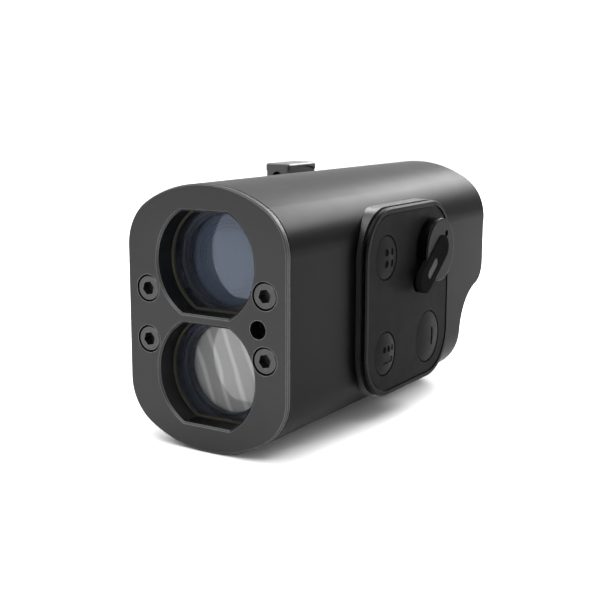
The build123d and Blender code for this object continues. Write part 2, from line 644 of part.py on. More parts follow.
with BuildPart() as top_button:
    with BuildSketch(across(*TOP_BUTTON)):
        add(button_section(SMALL_BUTTON_R))
    revolve(axis=Axis((0, *TOP_BUTTON), (1, 0, 0)))
    with BuildSketch(beside(BUTTON_EDGE + BUTTON_RISE - MARK_DEPTH, *TOP_BUTTON)):
        with Locations((0.5, 0)):
            with GridLocations(3.2, 3.2, 2, 2):
                Circle(1.05)
    extrude(amount=2, mode=Mode.SUBTRACT)

with BuildPart() as menu_button:
    with BuildSketch(across(*MENU_BUTTON)):
        add(button_section(SMALL_BUTTON_R))
    revolve(axis=Axis((0, *MENU_BUTTON), (1, 0, 0)))
    with BuildSketch(beside(BUTTON_EDGE + BUTTON_RISE - MARK_DEPTH, *MENU_BUTTON)):
        with Locations((0.8, 1.4)):
            with GridLocations(2.4, 1, 3, 1):
                Circle(0.9)
        with Locations((0.8, -1.9)):
            SlotOverall(6.4, 1.7)
    extrude(amount=2, mode=Mode.SUBTRACT)

with BuildPart() as power_button:
    with BuildSketch(across(*POWER_BUTTON)):
        add(button_section(LARGE_BUTTON_R))
    revolve(axis=Axis((0, *POWER_BUTTON), (1, 0, 0)))
    with BuildSketch(beside(BUTTON_EDGE + BUTTON_RISE - MARK_DEPTH, *POWER_BUTTON)):
        with Locations((1.6, 0)):
            SlotOverall(5.6, 1.3, rotation=90)
    extrude(amount=2, mode=Mode.SUBTRACT)

with BuildPart() as button_domes:
    for y, z, _ in BUTTONS.values():
        with Locations(Location((BOARD_FRONT, y, z), (0, 90, 0))):
            Cone(3.5, 2.0, DOME_T, align=(Align.CENTER, Align.CENTER, Align.MIN))

with BuildPart() as keypad_board:
    with BuildSketch(beside(BOARD_BACK)):
        with Locations((PANEL_Y - 0.5, 0)):
            RectangleRounded(46.0, 42.0, 3.0)
    extrude(amount=BOARD_T)
    rod_x(SHAFT_R + 0.4, BOARD_BACK - 1, BOARD_FRONT + 1, *KNOB, mode=Mode.SUBTRACT)
    for y, z in STANDOFFS:
        rod_x(1.0, BOARD_BACK - 1, BOARD_FRONT + 1, y, z, mode=Mode.SUBTRACT)
    block((BOARD_BACK - 1.2, BOARD_BACK), (54, 60), (4, 10))
    block((BOARD_BACK - 2.5, BOARD_BACK), (50, 66), (-8, -4))

with BuildPart() as board_screws:
    for y, z in STANDOFFS:
        rod_x(0.8, BOARD_BACK - 0.5, INNER_X, y, z)
        rod_x(1.7, BOARD_BACK - 1.3, BOARD_BACK, y, z)

with BuildPart() as bezel_screws:
    for y, z in BEZEL_SCREWS:
        rod_x(0.8, INNER_X - 0.5, PAD_TOP + 0.7, y, z)
        rod_x(1.5, INNER_X - 1.1, INNER_X + 0.1, y, z)

# ---- Mode knob -----------------------------------------------------------------------------------
LEVER = (LEVER_REACH, 2 * LEVER_R)
LEVER_BACK = KNOB_BACK + 1.0
CAP_START = -0.9  # the lever's black cap starts this far from the knob's axis, beyond it
INLAY = (5.4, 10.1)

with BuildPart() as mode_knob:
    with BuildSketch(beside(KNOB_BACK, *KNOB)):
        Circle(KNOB_R)
    extrude(amount=KNOB_TOP - KNOB_BACK)
    fillet(mode_knob.faces().sort_by(Axis.X)[-1].edges(), 0.5)
    with BuildSketch(beside(LEVER_BACK, *KNOB, LEVER_DEG)):
        with Locations((LEVER_REACH / 2, 0)):
            SlotCenterToCenter(*LEVER)
    extrude(amount=LEVER_TOP - LEVER_BACK)
    with BuildSketch(beside(LEVER_TOP - 0.9, *KNOB, LEVER_DEG)):
        with Locations(((CAP_START + LEVER_REACH) / 2, 0)):
            SlotCenterToCenter(LEVER_REACH - CAP_START, 2 * LEVER_R)
    extrude(amount=3, mode=Mode.SUBTRACT)
    dot_y, dot_z = KNOB[0] + 5.7 * cos(radians(DOT_DEG)), KNOB[1] + 5.7 * sin(radians(DOT_DEG))
    rod_x(1.0, KNOB_TOP - 0.5, KNOB_TOP + 1, dot_y, dot_z, mode=Mode.SUBTRACT)
    rod_x(SHAFT_R, KNOB_BACK - 1, KNOB_BACK + 1.6, *KNOB, mode=Mode.SUBTRACT)

with BuildPart() as knob_cap:
    with BuildSketch(beside(LEVER_TOP - 0.9, *KNOB, LEVER_DEG)):
        with Locations(((CAP_START + LEVER_REACH) / 2, 0)):
            SlotCenterToCenter(LEVER_REACH - CAP_START, 2 * LEVER_R)
    extrude(amount=CAP_TOP - LEVER_TOP + 0.9)
    fillet(knob_cap.faces().sort_by(Axis.X)[-1].edges(), 0.45)
    with BuildSketch(beside(CAP_TOP - 0.6, *KNOB, LEVER_DEG)):
        with Locations((sum(INLAY) / 2, 0)):
            SlotCenterToCenter(INLAY[1] - INLAY[0], 2.8)
    extrude(amount=1, mode=Mode.SUBTRACT)

with BuildPart() as knob_inlay:
    with BuildSketch(beside(CAP_TOP - 0.6, *KNOB, LEVER_DEG)):
        with Locations((sum(INLAY) / 2, 0)):
            SlotCenterToCenter(INLAY[1] - INLAY[0], 2.8)
    extrude(amount=0.45)

with BuildPart() as knob_shaft:
    rod_x(SHAFT_R, 15.5, KNOB_BACK + 1.6, *KNOB)
    chamfer(knob_shaft.edges(), 0.3)

with BuildPart() as shaft_seal:
    with BuildSketch(across(*KNOB)):
        with Locations((SHAFT_R + 0.68, PAD_TOP - 0.05)):
            Circle(0.6)
    revolve(axis=Axis((0, *KNOB), (1, 0, 0)))

with BuildPart() as rotary_switch:
    block((13.5, BOARD_BACK), (KNOB[0] - 7, KNOB[0] + 7), (KNOB[1] - 7, KNOB[1] + 7))
    chamfer(rotary_switch.edges().filter_by(Axis.X), 1.5)
    rod_x(SHAFT_R + 0.06, 15.0, BOARD_BACK + 1, *KNOB, mode=Mode.SUBTRACT)

# ---- Main board ----------------------------------------------------------------------------------
with BuildPart() as main_board:
    block((-17.6, -16.0), (62, 98), (-22, 24))
    for y, z, size in ((70, 14, 9), (84, 12, 7), (74, -6, 6), (88, -8, 8)):
        block((-16.0, -14.8), (y - size / 2, y + size / 2), (z - size / 2, z + size / 2))

# ---- Rail clamp ----------------------------------------------------------------------------------
CLAMP_SPAN = (CLAMP_Y - BASE_LENGTH / 2, CLAMP_Y + BASE_LENGTH / 2)
LIP_X = SEAT_X - LIP_DEPTH
EDGE_FRONT = SEAT_X - (RAIL_HALF - SEAT_HALF)
EDGE_BACK = LIP_X + (RAIL_HALF - LIP_HALF)
JAW_BACK = SEAT_X + GUIDE_STEP - 0.05
SEAT_LOW = RAIL_Z - SEAT_HALF
TONGUE_TOP = RAIL_Z - RAIL_HALF + 1.0

with BuildPart() as clamp_base:
    with BuildSketch(Plane(origin=(0, CLAMP_SPAN[0], 0), x_dir=(1, 0, 0), z_dir=(0, -1, 0))):
        with BuildLine():
            top, low = RAIL_Z + RAIL_HALF, RAIL_Z - RAIL_HALF - JAW_T
            Polyline((-20, top + JAW_T), (LIP_X, top + JAW_T), (LIP_X, RAIL_Z + LIP_HALF), (EDGE_BACK, top),
                     (EDGE_FRONT, top), (SEAT_X, RAIL_Z + SEAT_HALF), (SEAT_X, SEAT_LOW),
                     (SEAT_X + GUIDE_STEP, SEAT_LOW), (SEAT_X + GUIDE_STEP, low), (-20, low), close=True)
        make_face()
    extrude(amount=-BASE_LENGTH)
    chamfer(clamp_base.edges().filter_by(Axis.Y).group_by(Axis.X)[0].sort_by(Axis.Z)[-1], 1.0)
    with BuildSketch(facing(HOUSING_FRONT)):
        add(outline())
    extrude(amount=-LENGTH - 20, mode=Mode.SUBTRACT)
    rod_z(BOLT_BORE_R, low - 1, top + JAW_T + 1, BOLT_X, CLAMP_Y, mode=Mode.SUBTRACT)
    block((SEAT_X - 1, -20), (CLAMP_Y - TONGUE / 2 - 0.1, CLAMP_Y + TONGUE / 2 + 0.1),
          (low - 1, TONGUE_TOP + 0.4), mode=Mode.SUBTRACT)
    for y, z in CLAMP_SCREWS:
        rod_x(2.0, SEAT_X + 0.8, -20, y, z, mode=Mode.SUBTRACT)

with BuildPart() as clamp_screws:
    for y, z in CLAMP_SCREWS:
        rod_x(2.0, SEAT_X + 1.0, -INNER_X + 0.5, y, z)
        rod_x(3.5, -INNER_X, -INNER_X + 2.2, y, z)

with BuildPart() as clamp_jaw:
    with BuildSketch(Plane(origin=(0, CLAMP_SPAN[0], 0), x_dir=(1, 0, 0), z_dir=(0, -1, 0))):
        with BuildLine():
            edge, low = RAIL_Z - RAIL_HALF, RAIL_Z - RAIL_HALF - JAW_T
            Polyline((JAW_BACK, low), (JAW_BACK, SEAT_LOW - 0.1), (SEAT_X, SEAT_LOW - 0.1),
                     (EDGE_FRONT, edge), (EDGE_BACK, edge), (LIP_X, RAIL_Z - LIP_HALF), (LIP_X, low),
                     close=True)
        make_face()
    extrude(amount=-BASE_LENGTH)
    chamfer(clamp_jaw.edges().filter_by(Axis.Y).group_by(Axis.X)[0].sort_by(Axis.Z)[0], 1.0)
    block((JAW_BACK - 2, -25.8), (CLAMP_Y - TONGUE / 2, CLAMP_Y + TONGUE / 2), (low, TONGUE_TOP))
    rod_z(BOLT_R + 0.07, low - 1, TONGUE_TOP + 2, BOLT_X, CLAMP_Y, mode=Mode.SUBTRACT)

with BuildPart() as clamp_bolt:
    with BuildSketch(Plane.XY.offset(BOLT_COLLAR_TOP)):
        with Locations((BOLT_X, CLAMP_Y)):
            RectangleRounded(*BOLT_HEAD, 1.0)
    extrude(amount=BOLT_HEAD_TOP - BOLT_COLLAR_TOP)
    fillet(clamp_bolt.faces().sort_by(Axis.Z)[-1].edges(), 0.8)
    for side in (-1, 1):
        face_x = BOLT_X + side * BOLT_HEAD[0] / 2
        rod_x(24.0, face_x - 0.7, face_x + 0.7, CLAMP_Y, BOLT_HEAD_TOP - 0.8 - 24.0, mode=Mode.SUBTRACT)
    rod_z(BOLT_COLLAR_R, RAIL_Z + RAIL_HALF + JAW_T + 0.05, BOLT_COLLAR_TOP + 0.1, BOLT_X, CLAMP_Y)
    rod_y(BAR_HOLE_R, CLAMP_Y - 9, CLAMP_Y + 9, BAR_HOLE_Z, BOLT_X, mode=Mode.SUBTRACT)
    rod_z(BOLT_R, BOLT_END, BOLT_COLLAR_TOP, BOLT_X, CLAMP_Y)
    chamfer(clamp_bolt.faces().sort_by(Axis.Z)[0].edges(), 0.5)

with BuildPart() as bolt_clip:
    rod_z(3.8, BOLT_END + 1.2, BOLT_END + 2.0, BOLT_X, CLAMP_Y)
    rod_z(BOLT_R, BOLT_END, BOLT_END + 3, BOLT_X, CLAMP_Y, mode=Mode.SUBTRACT)

# ---- Export --------------------------------------------------------------------------------------
PIECES = {
    "housing": housing,
    "front_gasket": front_gasket,
    "front_plate": front_plate,
    "front_screws": front_screws,
    "window_seals": window_seals,
    "upper_window": upper_window,
    "lower_window": lower_window,
    "optics_chassis": optics_chassis,
    "pointer_window": pointer_window,
    "pointer_module": pointer_module,
    "upper_barrel": upper_barrel,
    "lower_barrel": lower_barrel,
    "lens_rings": lens_rings,
    "objective_lens": objective_lens,
    "receiver_lens": receiver_lens,
    "receiver_filter": receiver_filter,
    "receiver_board": receiver_board,
    "detector": detector,
    "sight_frame": sight_frame,
    "splitter_cube": splitter_cube,
    "laser_module": laser_module,
    "front_prism": front_prism,
    "rear_prism": rear_prism,
    "display_frame": display_frame,
    "display_panel": display_panel,
    "eye_housing": eye_housing,
    "field_lens": field_lens,
    "eye_cell": eye_cell,
    "eye_lens": eye_lens,
    "diopter_ring": diopter_ring,
    "eyecup": eyecup,
    "battery_tube": battery_tube,
    "battery_cell": battery_cell,
    "contact_spring": contact_spring,
    "battery_cap": battery_cap,
    "cap_contact": cap_contact,
    "cap_seal": cap_seal,
    "keypad_gasket": keypad_gasket,
    "keypad_bezel": keypad_bezel,
    "keypad_membrane": keypad_membrane,
    "top_button": top_button,
    "menu_button": menu_button,
    "power_button": power_button,
    "button_domes": button_domes,
    "keypad_board": keypad_board,
    "board_screws": board_screws,
    "bezel_screws": bezel_screws,
    "mode_knob": mode_knob,
    "knob_cap": knob_cap,
    "knob_inlay": knob_inlay,
    "knob_shaft": knob_shaft,
    "shaft_seal": shaft_seal,
    "rotary_switch": rotary_switch,
    "main_board": main_board,
    "clamp_base": clamp_base,
    "clamp_screws": clamp_screws,
    "clamp_jaw": clamp_jaw,
    "clamp_bolt": clamp_bolt,
    "bolt_clip": bolt_clip,
}

for name, piece in PIECES.items():
    save(piece.part, name)
print(len(PIECES), "pieces")
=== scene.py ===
"""Looks for the two-aperture laser speed meter: finishes, glass, floor, light and camera, in metres."""

import json
from math import cos, pi, radians, sin, sqrt

import bmesh
import bpy
from mathutils import Matrix, Vector


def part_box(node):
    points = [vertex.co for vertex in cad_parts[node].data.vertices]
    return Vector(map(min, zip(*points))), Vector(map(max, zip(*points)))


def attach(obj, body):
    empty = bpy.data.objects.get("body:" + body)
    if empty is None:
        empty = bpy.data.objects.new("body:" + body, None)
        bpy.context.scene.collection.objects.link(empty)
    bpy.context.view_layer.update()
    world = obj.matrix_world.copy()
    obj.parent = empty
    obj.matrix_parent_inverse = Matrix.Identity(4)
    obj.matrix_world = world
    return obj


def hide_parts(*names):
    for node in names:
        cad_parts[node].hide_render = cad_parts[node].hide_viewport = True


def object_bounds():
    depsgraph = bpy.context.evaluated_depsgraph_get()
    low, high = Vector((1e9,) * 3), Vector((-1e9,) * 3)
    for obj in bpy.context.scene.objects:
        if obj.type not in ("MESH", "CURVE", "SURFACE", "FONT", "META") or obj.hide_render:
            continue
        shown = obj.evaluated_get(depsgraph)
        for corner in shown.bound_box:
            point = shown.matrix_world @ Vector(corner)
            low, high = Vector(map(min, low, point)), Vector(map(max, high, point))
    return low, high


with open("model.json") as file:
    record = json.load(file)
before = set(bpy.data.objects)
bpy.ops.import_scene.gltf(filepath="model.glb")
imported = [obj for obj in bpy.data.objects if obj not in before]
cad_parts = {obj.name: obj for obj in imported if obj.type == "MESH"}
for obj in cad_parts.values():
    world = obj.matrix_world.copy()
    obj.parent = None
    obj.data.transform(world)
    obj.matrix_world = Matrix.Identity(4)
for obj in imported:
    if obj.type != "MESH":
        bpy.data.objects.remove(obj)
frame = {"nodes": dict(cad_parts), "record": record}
MM = 0.001
LENS_X = 30.0 * MM  # the upper barrel's axis, which the painted reflection rings on the objective go round
LENS_Z = 4.0 * MM
LENS_STEPS = 14  # rings of faces from a lens's middle to its rim

# ---- Camera --------------------------------------------------------------------------------------
AZIMUTH = radians(32.04)
ELEVATION = radians(10.57)
ROLL = radians(0.18)
DISTANCE = 277.3 * MM
AIM_RIGHT = 24.35 * MM  # the camera looks to the right of, and above, the front plate's middle
AIM_UP = 5.39 * MM
LENS = 65.17


def add_camera():
    """A camera that looks at the front plate from the keypad side, a little from above."""
    low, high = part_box("front_plate")
    front = Vector(((low[0] + high[0]) / 2, low[1], (low[2] + high[2]) / 2))
    back = Vector((sin(AZIMUTH) * cos(ELEVATION), -cos(AZIMUTH) * cos(ELEVATION), sin(ELEVATION)))
    right = (-back).cross(Vector((0, 0, 1))).normalized()
    up = back.cross(right)
    right, up = cos(ROLL) * right + sin(ROLL) * up, cos(ROLL) * up - sin(ROLL) * right
    camera = bpy.data.objects.new("camera", bpy.data.cameras.new("camera"))
    camera.data.lens = LENS
    camera.data.sensor_width = 36.0
    camera.data.clip_start = 0.01
    turn = Matrix((right, up, back)).transposed().to_4x4()
    place = front + AIM_RIGHT * right + AIM_UP * up + DISTANCE * back
    camera.matrix_world = Matrix.Translation(place) @ turn
    bpy.context.scene.collection.objects.link(camera)
    bpy.context.scene.camera = camera


add_camera()
frame_low, frame_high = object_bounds()
NODES = frame["nodes"]
scene = bpy.context.scene


# ---- Material tools ------------------------------------------------------------------------------
class Shader:
    """One node material, with short calls for the nodes that the finishes below share."""

    def __init__(self, name, **values):
        self.material = bpy.data.materials.new(name)
        self.material.use_nodes = True
        self.tree = self.material.node_tree
        self.surface = self.tree.nodes["Principled BSDF"]
        for socket, value in values.items():
            self.surface.inputs[socket.replace("_", " ")].default_value = value
        self.place = self.node("ShaderNodeTexCoord").outputs["Object"]

    def node(self, kind, **settings):
        made = self.tree.nodes.new(kind)
        for key, value in settings.items():
            setattr(made, key, value)
        return made

    def link(self, source, target):
        self.tree.links.new(source, target)

    def noise(self, scale, detail=3.0, rough=0.55, stretch=(1, 1, 1)):
        """Noise over the object's own place. The scale is in cells per metre."""
        mapping = self.node("ShaderNodeMapping")
        mapping.inputs["Scale"].default_value = stretch
        texture = self.node("ShaderNodeTexNoise")
        texture.inputs["Scale"].default_value = scale
        texture.inputs["Detail"].default_value = detail
        texture.inputs["Roughness"].default_value = rough
        self.link(self.place, mapping.inputs["Vector"])
        self.link(mapping.outputs["Vector"], texture.inputs["Vector"])
        return texture.outputs["Fac"]

    def cells(self, scale):
        """Distance to the nearest of many scattered points, for a pebbled grain."""
        texture = self.node("ShaderNodeTexVoronoi")
        texture.inputs["Scale"].default_value = scale
        self.link(self.place, texture.inputs["Vector"])
        return texture.outputs["Distance"]

    def span(self, source, low, high, start=0.3, end=0.7):
        """Maps source from start..end to low..high."""
        ranged = self.node("ShaderNodeMapRange")
        for socket, value in (("From Min", start), ("From Max", end), ("To Min", low), ("To Max", high)):
            ranged.inputs[socket].default_value = value
        self.link(source, ranged.inputs["Value"])
        return ranged.outputs["Result"]

    def mix(self, factor, first, second):
        """Blends two colours, where either one may be another node's output."""
        mixed = self.node("ShaderNodeMix", data_type="RGBA")
        self.link(factor, mixed.inputs["Factor"])
        for socket, value in (("A", first), ("B", second)):
            target = [s for s in mixed.inputs if s.name == socket and s.type == "RGBA"][0]
            if isinstance(value, bpy.types.NodeSocket):
                self.link(value, target)
            else:
                target.default_value = (*value, 1.0)
        return [s for s in mixed.outputs if s.type == "RGBA"][0]

    def edges(self, radius, start=0.02, end=0.25):
        """0 on flat stretches and 1 on sharp edges, from the bevelled normal."""
        bevel = self.node("ShaderNodeBevel", samples=4)
        bevel.inputs["Radius"].default_value = radius
        plain = self.node("ShaderNodeNewGeometry").outputs["Normal"]
        dot = self.node("ShaderNodeVectorMath", operation="DOT_PRODUCT")
        self.link(bevel.outputs["Normal"], dot.inputs[0])
        self.link(plain, dot.inputs[1])
        return self.span(dot.outputs["Value"], 0.0, 1.0, 1 - start, 1 - end)

    def bump(self, height, distance, strength):
        made = self.node("ShaderNodeBump")
        made.inputs["Distance"].default_value = distance
        made.inputs["Strength"].default_value = strength
        self.link(height, made.inputs["Height"])
        return made.outputs["Normal"]

    def set(self, **sockets):
        for name, source in sockets.items():
            self.link(source, self.surface.inputs[name.replace("_", " ")])


def shade(colour, factor, lift=0.0):
    """The colour made darker or paler, with the same amount then added to each channel."""
    return tuple(c * factor + lift for c in colour)


def anodised(name, colour, rough, grain=9000.0, sheen=0.62, wear_and_highlight=0.03):
    """Black anodised aluminium with a fine blasted grain, faint handling marks, and edges painted paler:
    partly wear, partly a painted highlight along the chamfers.
    """
    made = Shader(name, Metallic=1.0, Specular_Tint=(sheen, sheen, sheen, 1))
    blotch = made.noise(60.0, 4.0)
    edge_mask = made.edges(0.25 * MM)
    tone = made.mix(made.span(blotch, 0.0, 1.0), shade(colour, 0.96), shade(colour, 1.04))
    # The paler edge colour is partly wear and partly a painted highlight on the chamfers.
    made.set(Base_Color=made.mix(edge_mask, tone, shade(colour, 2.4, wear_and_highlight)))
    made.set(Roughness=made.span(made.noise(140.0, 5.0), rough - 0.01, rough + 0.012))
    made.set(Normal=made.bump(made.noise(grain, 2.0, 0.6), 0.012 * MM, 0.2))
    return made.material


def rubber(name, colour):
    """Matt moulded rubber with a soft sheen and a fine spark-eroded texture."""
    made = Shader(name, Specular_IOR_Level=0.35)
    tone = made.mix(made.span(made.noise(90.0, 4.0), 0, 1), shade(colour, 0.8), shade(colour, 1.2))
    made.set(Base_Color=tone, Roughness=made.span(made.noise(300.0), 0.56, 0.7))
    made.set(Normal=made.bump(made.cells(5000.0), 0.02 * MM, 0.5))
    return made.material


def plastic(name, colour, rough=0.45, grain=6500.0, depth=0.012, spec=0.5):
    """Moulded or filmed plastic with a fine texture and slightly uneven gloss."""
    made = Shader(name, Specular_IOR_Level=spec)
    tone = made.mix(made.span(made.noise(120.0, 4.0), 0, 1), shade(colour, 0.88), shade(colour, 1.12))
    made.set(Base_Color=tone, Roughness=made.span(made.noise(220.0), rough - 0.04, rough + 0.05))
    made.set(Normal=made.bump(made.noise(grain, 2.0), depth * MM, 0.6))
    return made.material


def steel(name, colour, rough=0.3):
    """Turned or blackened steel with a drawn grain and brighter edges."""
    made = Shader(name, Metallic=1.0)
    drawn = made.noise(1500.0, 4.0, 0.6, (1, 1, 12))
    edge_mask = made.edges(0.2 * MM)
    tone = made.mix(made.span(drawn, 0, 1), shade(colour, 0.8), shade(colour, 1.15))
    made.set(Base_Color=made.mix(edge_mask, tone, shade(colour, 1.5, 0.05)))
    made.set(Roughness=made.span(made.noise(400.0), rough - 0.05, rough + 0.08))
    made.set(Normal=made.bump(drawn, 0.01 * MM, 0.4))
    return made.material


def glass(name, tint):
    """Tinted glass with a faint smear."""
    made = Shader(name, IOR=1.5, Transmission_Weight=1.0)
    tone = made.mix(made.span(made.noise(40.0), 0, 1), tint, shade(tint, 1.05))
    made.set(Base_Color=tone, Roughness=made.span(made.noise(160.0, 5.0), 0.0, 0.03, 0.5, 0.9))
    return made.material


def window(name, coat):
    """A thin clear plate with a coated, mirror-smooth face and a faint smear."""
    made = Shader(name, IOR=1.5, Alpha=0.05, Specular_IOR_Level=0.1, Specular_Tint=(*coat, 1))
    smear = made.span(made.noise(50.0), 0, 1)
    made.set(Base_Color=made.mix(smear, (0.012, 0.016, 0.02), (0.02, 0.024, 0.03)))
    made.set(Roughness=made.span(made.noise(160.0, 5.0), 0.0, 0.04, 0.5, 0.9))
    return made.material


def ringed_lens(name, tint):
    """Lens with a blue mirror-like coating, and dark rings round its middle that are painted reflections of
    the inner element edges.
    """
    made = Shader(name, Metallic=0.3, IOR=1.5, Transmission_Weight=0.1)
    centred = made.node("ShaderNodeMapping")
    centred.inputs["Location"].default_value = (-LENS_X, 0, -LENS_Z)
    centred.inputs["Scale"].default_value = (1, 0, 1)
    made.link(made.place, centred.inputs["Vector"])
    length = made.node("ShaderNodeVectorMath", operation="LENGTH")
    made.link(centred.outputs["Vector"], length.inputs[0])
    tone = made.mix(made.span(made.noise(70.0), 0, 1), tint, shade(tint, 1.15))
    # Each ring darkens the colour: a painted reflection of an inner element edge.
    for radius in (8.4, 9.3, 10.1):
        inside = made.span(length.outputs["Value"], 0, 1, (radius - 0.12) * MM, radius * MM)
        beyond = made.span(length.outputs["Value"], 1, 0, radius * MM, (radius + 0.25) * MM)
        painted_ring = made.node("ShaderNodeMath", operation="MULTIPLY")
        made.link(inside, painted_ring.inputs[0])
        made.link(beyond, painted_ring.inputs[1])
        tone = made.mix(painted_ring.outputs["Value"], tone, shade(tint, 0.65))
    made.set(Base_Color=tone, Roughness=made.span(made.noise(160.0, 5.0), 0.05, 0.09))
    return made.material


def streaked_glass(name, dark, pale):
    """Receiver glass crossed by slanted pale streaks, painted reflections of the mirror strips behind it."""
    made = Shader(name, Metallic=0.15, IOR=1.5, Transmission_Weight=0.1)
    wave = made.node("ShaderNodeTexWave", wave_type="BANDS", bands_direction="X", wave_profile="SIN")
    wave.inputs["Scale"].default_value = 62.0
    wave.inputs["Distortion"].default_value = 2.4
    wave.inputs["Detail"].default_value = 1.0
    slanted = made.node("ShaderNodeMapping")
    slanted.inputs["Rotation"].default_value = (0, radians(24), 0)
    made.link(made.place, slanted.inputs["Vector"])
    made.link(slanted.outputs["Vector"], wave.inputs["Vector"])
    # The pale bands are painted reflections, not marks on the glass.
    painted_reflection = made.span(wave.outputs["Fac"], 0, 1, 0.7, 1.0)
    tone = made.mix(painted_reflection, dark, pale)
    made.set(Base_Color=tone, Roughness=made.span(made.noise(160.0, 5.0), 0.05, 0.09))
    return made.material


def circuit_board(name):
    """Green solder mask over faint copper tracks."""
    made = Shader(name)
    brick = made.node("ShaderNodeTexBrick")
    sizes = {"Scale": 260.0, "Mortar Size": 0.03, "Brick Width": 0.9, "Row Height": 0.3}
    for socket, value in sizes.items():
        brick.inputs[socket].default_value = value
    brick.inputs["Color1"].default_value = (0.01, 0.09, 0.04, 1)
    brick.inputs["Color2"].default_value = (0.012, 0.11, 0.05, 1)
    brick.inputs["Mortar"].default_value = (0.03, 0.18, 0.07, 1)
    sideways = made.node("ShaderNodeMapping")
    sideways.inputs["Rotation"].default_value = (0, radians(90), 0)
    made.link(made.place, sideways.inputs["Vector"])
    made.link(sideways.outputs["Vector"], brick.inputs["Vector"])
    made.set(Base_Color=brick.outputs["Color"], Roughness=made.span(made.noise(200.0), 0.3, 0.42))
    made.set(Normal=made.bump(brick.outputs["Fac"], 0.02 * MM, 0.5))
    return made.material


def grooved(name, colour, pitch):
    """Black anodised bore whose fine thread-like rings run round the Y axis."""
    made = Shader(name, Metallic=0.7)
    wave = made.node("ShaderNodeTexWave", wave_type="BANDS", bands_direction="Y", wave_profile="SIN")
    wave.inputs["Scale"].default_value = 1 / (pitch * 3.2)
    made.link(made.place, wave.inputs["Vector"])
    made.set(Base_Color=made.mix(wave.outputs["Fac"], colour, shade(colour, 2.2)))
    made.set(Roughness=made.span(made.noise(250.0), 0.4, 0.48))
    made.set(Normal=made.bump(wave.outputs["Fac"], 0.12 * MM, 0.9))
    return made.material


FINISHES = {
    "anodised_housing": anodised("anodised_housing", (0.011, 0.011, 0.0112), 0.34),
    # The front plate's larger edge lift paints a highlight along its chamfers and aperture edges.
    "anodised_plate": anodised("anodised_plate", (0.044, 0.044, 0.045), 0.4, 11000.0, wear_and_highlight=0.22),
    "black_screw": steel("black_screw", (0.07, 0.07, 0.071), 0.36),
    "steel": steel("steel", (0.5, 0.5, 0.51)),
    "black_rubber": rubber("black_rubber", (0.012, 0.012, 0.013)),
    "window_glass": window("window_glass", (1, 1, 1)),
    "coated_lens": ringed_lens("coated_lens", (0.078, 0.098, 0.138)),
    "clear_lens": streaked_glass("clear_lens", (0.33, 0.33, 0.333), (0.5, 0.5, 0.5)),
    "filter_glass": glass("filter_glass", (0.05, 0.008, 0.008)),
    "internal_black": plastic("internal_black", (0.012, 0.012, 0.013), 0.6),
    "internal_aluminium": grooved("internal_aluminium", (0.025, 0.029, 0.037), 0.5 * MM),
    "board": circuit_board("board"),
    "brass": steel("brass", (0.75, 0.55, 0.25)),
    "laser_brass": steel("laser_brass", (0.7, 0.52, 0.22), 0.25),
    "tin": steel("tin", (0.7, 0.7, 0.71), 0.35),
    "keypad_plate": anodised("keypad_plate", (0.008, 0.008, 0.0082), 0.32),
    "keypad_film": plastic("keypad_film", (0.008, 0.008, 0.0082), 0.4, 7000.0, depth=0.008, spec=0.01),
    "button_rubber": plastic("button_rubber", (0.0095, 0.0095, 0.0097), 0.42, 5200.0, depth=0.01, spec=0.02),
    "knob_black": anodised("knob_black", (0.008, 0.008, 0.0082), 0.3),
    "cap_black": plastic("cap_black", (0.006, 0.006, 0.006), 0.3, 6000.0, depth=0.004, spec=0.0),
    "inlay_grey": plastic("inlay_grey", (0.014, 0.014, 0.0143), 0.5, spec=0.1),
    "cell_wrap": plastic("cell_wrap", (0.02, 0.03, 0.06), 0.25),
    "clamp_black": anodised("clamp_black", (0.028, 0.028, 0.0285), 0.46, 6000.0, sheen=0.4, wear_and_highlight=0.0),
}


# ---- CAD nodes -----------------------------------------------------------------------------------
def dress_nodes():
    """Gives every CAD node the finish that the record names for it."""
    for part in frame["record"]["subparts"]:
        node = NODES[part["node"]]
        finish = FINISHES[part["material_slot"]]
        if not node.material_slots:
            node.data.materials.append(finish)
        for slot in node.material_slots:
            slot.material = finish


dress_nodes()
special_finishes = {
    "upper_window": window("coated_window", (0.45, 0.68, 1.0)),
    "window_seals": rubber("amber_seal", (0.03, 0.027, 0.017)),
    "keypad_gasket": plastic("glossy_gasket", (0.01, 0.01, 0.0102), 0.3, spec=0.4),
}
for node_name, finish in special_finishes.items():
    NODES[node_name].material_slots[0].material = finish


# ---- Lenses with fine surfaces -------------------------------------------------------------------
def turned(name, profile, axis_point, segments=160):
    """A closed solid of revolution about a line along Y, from (radius, y) points."""
    mesh = bmesh.new()
    rings = []
    for radius, y in profile:
        if radius < 1e-7:
            rings.append([mesh.verts.new((axis_point[0], y, axis_point[2]))])
            continue
        angles = [2 * pi * step / segments for step in range(segments)]
        rings.append([mesh.verts.new((axis_point[0] + radius * cos(a), y, axis_point[2] + radius * sin(a)))
                      for a in angles])
    loops = list(zip(rings, rings[1:])) if len(rings[0]) == 1 else list(zip(rings, rings[1:] + rings[:1]))
    for first, second in loops:
        for step in range(segments):
            after = (step + 1) % segments
            corners = [first[step % len(first)], first[after % len(first)],
                       second[after % len(second)], second[step % len(second)]]
            unique = list(dict.fromkeys(corners))
            if len(unique) > 2:
                mesh.faces.new(unique)
    bmesh.ops.recalc_face_normals(mesh, faces=mesh.faces)
    data = bpy.data.meshes.new(name)
    mesh.to_mesh(data)
    mesh.free()
    data.shade_smooth()
    data.set_sharp_from_angle(angle=radians(35))
    made = bpy.data.objects.new(name, data)
    scene.collection.objects.link(made)
    return made


